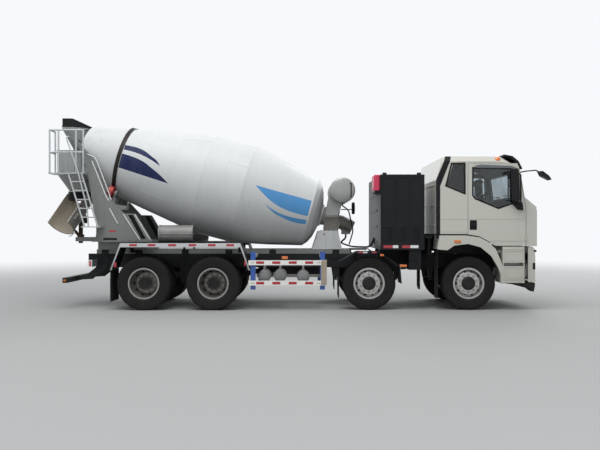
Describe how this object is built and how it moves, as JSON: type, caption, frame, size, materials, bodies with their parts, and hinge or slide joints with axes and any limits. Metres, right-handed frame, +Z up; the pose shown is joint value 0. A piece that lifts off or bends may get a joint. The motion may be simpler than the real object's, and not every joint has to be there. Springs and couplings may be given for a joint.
{
  "type": "concrete mixer truck",
  "caption": "Four-axle concrete mixer truck with a tilting cab, twin steered axles, battery box, turning drum, hopper and swivelling discharge chute.",
  "frame": {"origin": "centre of the truck's bounding box at ground level", "axes": "+X towards the front of the truck, +Y to its left, +Z up"},
  "size_m": [10.1057, 2.9, 3.87],
  "materials": {
    "frame_black": "satin",
    "cab_cream": "gloss",
    "body_grey": "satin",
    "drum_white": "gloss",
    "guard_white": "gloss",
    "roller_red": "satin",
    "track_steel": "worn",
    "chute_steel": "worn",
    "wheel_alloy": "polished",
    "wheel_steel": "satin",
    "axle_iron": "rough",
    "drive_alloy": "cast",
    "tyre_rubber": "matt",
    "soft_rubber": "matt",
    "black_plastic": "matt",
    "lamp_lens": "clear",
    "tinted_glass": "clear",
    "seat_fabric": "woven"
  },
  "bodies": {
    "chassis": {"chassis_frame": "frame_black", "sub_frame": "body_grey", "axle_beams": "axle_iron", "leaf_springs": "frame_black", "drive_line": "axle_iron", "battery_box": "frame_black", "control_box": "frame_black", "air_tanks": "frame_black", "side_guards": "guard_white", "front_bumper": "cab_cream", "lamps": "lamp_lens", "step_fenders": "cab_cream", "mudguards": "black_plastic", "rubber_flaps": "soft_rubber", "rear_underrun": "frame_black", "front_pedestal": "body_grey", "drum_gearbox": "drive_alloy", "water_tank": "body_grey", "rear_pedestal": "body_grey", "hopper": "body_grey", "hopper_rubber": "soft_rubber", "collector": "body_grey", "service_platform": "body_grey", "spare_chutes": "chute_steel"},
    "cab": {"cab_shell": "cab_cream", "cab_glass": "tinted_glass", "cab_trim": "black_plastic", "cab_interior": "seat_fabric"},
    "door_right": {"door_r": "cab_cream", "door_glass_r": "tinted_glass", "mirror_r": "black_plastic"},
    "door_left": {"door_l": "cab_cream", "door_glass_l": "tinted_glass", "mirror_l": "black_plastic"},
    "drum_body": {"drum": "drum_white", "drum_ring": "track_steel"},
    "roller_right": {"roller_r": "roller_red"},
    "roller_left": {"roller_l": "roller_red"},
    "chute_swivel": {"chute_post": "chute_steel"},
    "chute_body": {"chute": "chute_steel"},
    "knuckle_1l_body": {"knuckle_1l": "axle_iron"},
    "wheel_1l": {"rim_1l": "wheel_alloy", "tyre_1l": "tyre_rubber"},
    "knuckle_1r_body": {"knuckle_1r": "axle_iron"},
    "wheel_1r": {"rim_1r": "wheel_alloy", "tyre_1r": "tyre_rubber"},
    "knuckle_2l_body": {"knuckle_2l": "axle_iron"},
    "wheel_2l": {"rim_2l": "wheel_alloy", "tyre_2l": "tyre_rubber"},
    "knuckle_2r_body": {"knuckle_2r": "axle_iron"},
    "wheel_2r": {"rim_2r": "wheel_alloy", "tyre_2r": "tyre_rubber"},
    "wheel_3l": {"rim_3l": "wheel_steel", "tyre_3l": "tyre_rubber"},
    "wheel_3r": {"rim_3r": "wheel_steel", "tyre_3r": "tyre_rubber"},
    "wheel_4l": {"rim_4l": "wheel_steel", "tyre_4l": "tyre_rubber"},
    "wheel_4r": {"rim_4r": "wheel_steel", "tyre_4r": "tyre_rubber"}
  },
  "joints": [
    {"name": "cab_tilt", "type": "hinge", "parent": "chassis", "child": "cab", "pos_m": [4.8, 0, 1.12], "axis": [0, 1, 0], "range_deg": [0, 50]},
    {"name": "door_right_hinge", "type": "hinge", "parent": "cab", "child": "door_right", "pos_m": [4.61, -1.245, 1.65], "axis": [0, 0, 1], "range_deg": [0, 70]},
    {"name": "door_left_hinge", "type": "hinge", "parent": "cab", "child": "door_left", "pos_m": [4.61, 1.245, 1.65], "axis": [0, 0, -1], "range_deg": [0, 70]},
    {"name": "steer_1l", "type": "hinge", "parent": "chassis", "child": "knuckle_1l_body", "pos_m": [3.52, 0.87, 0.522], "axis": [0, 0, 1], "range_deg": [-35, 35]},
    {"name": "spin_1l", "type": "hinge", "parent": "knuckle_1l_body", "child": "wheel_1l", "pos_m": [3.52, 1.01, 0.522], "axis": [0, 1, 0], "continuous": true},
    {"name": "steer_1r", "type": "hinge", "parent": "chassis", "child": "knuckle_1r_body", "pos_m": [3.52, -0.87, 0.522], "axis": [0, 0, 1], "range_deg": [-35, 35]},
    {"name": "spin_1r", "type": "hinge", "parent": "knuckle_1r_body", "child": "wheel_1r", "pos_m": [3.52, -1.01, 0.522], "axis": [0, 1, 0], "continuous": true},
    {"name": "steer_2l", "type": "hinge", "parent": "chassis", "child": "knuckle_2l_body", "pos_m": [1.57, 0.87, 0.522], "axis": [0, 0, 1], "range_deg": [-25.2, 25.2]},
    {"name": "spin_2l", "type": "hinge", "parent": "knuckle_2l_body", "child": "wheel_2l", "pos_m": [1.57, 1.01, 0.522], "axis": [0, 1, 0], "continuous": true},
    {"name": "steer_2r", "type": "hinge", "parent": "chassis", "child": "knuckle_2r_body", "pos_m": [1.57, -0.87, 0.522], "axis": [0, 0, 1], "range_deg": [-25.2, 25.2]},
    {"name": "spin_2r", "type": "hinge", "parent": "knuckle_2r_body", "child": "wheel_2r", "pos_m": [1.57, -1.01, 0.522], "axis": [0, 1, 0], "continuous": true},
    {"name": "spin_3l", "type": "hinge", "parent": "chassis", "child": "wheel_3l", "pos_m": [-1.48, 0.92, 0.522], "axis": [0, 1, 0], "continuous": true},
    {"name": "spin_3r", "type": "hinge", "parent": "chassis", "child": "wheel_3r", "pos_m": [-1.48, -0.92, 0.522], "axis": [0, 1, 0], "continuous": true},
    {"name": "spin_4l", "type": "hinge", "parent": "chassis", "child": "wheel_4l", "pos_m": [-2.83, 0.92, 0.522], "axis": [0, 1, 0], "continuous": true},
    {"name": "spin_4r", "type": "hinge", "parent": "chassis", "child": "wheel_4r", "pos_m": [-2.83, -0.92, 0.522], "axis": [0, 1, 0], "continuous": true},
    {"name": "drum_turn", "type": "hinge", "parent": "chassis", "child": "drum_body", "pos_m": [0.647, 0, 1.882], "axis": [-0.9659, 0, 0.2588], "continuous": true},
    {"name": "roller_right_turn", "type": "hinge", "parent": "chassis", "child": "roller_right", "pos_m": [-3.63006, -0.58546, 2.34054], "axis": [-0.9659, 0, 0.2588], "continuous": true},
    {"name": "roller_left_turn", "type": "hinge", "parent": "chassis", "child": "roller_left", "pos_m": [-3.63006, 0.58546, 2.34054], "axis": [-0.9659, 0, 0.2588], "continuous": true},
    {"name": "chute_slew", "type": "hinge", "parent": "chassis", "child": "chute_swivel", "pos_m": [-4.44, 0, 1.6], "axis": [0, 0, 1], "range_deg": [-155, 35]},
    {"name": "chute_luff", "type": "hinge", "parent": "chute_swivel", "child": "chute_body", "pos_m": [-4.4, 0.06928, 1.85], "axis": [-0.866, 0.5, 0], "range_deg": [0, 25]}
  ],
  "couplings": [
    {"joint": "steer_1r", "follows": "steer_1l", "ratio": 1},
    {"joint": "steer_2l", "follows": "steer_1l", "ratio": 0.72},
    {"joint": "steer_2r", "follows": "steer_1l", "ratio": 0.72},
    {"joint": "roller_right_turn", "follows": "drum_turn", "ratio": -6.08},
    {"joint": "roller_left_turn", "follows": "drum_turn", "ratio": -6.08}
  ]
}
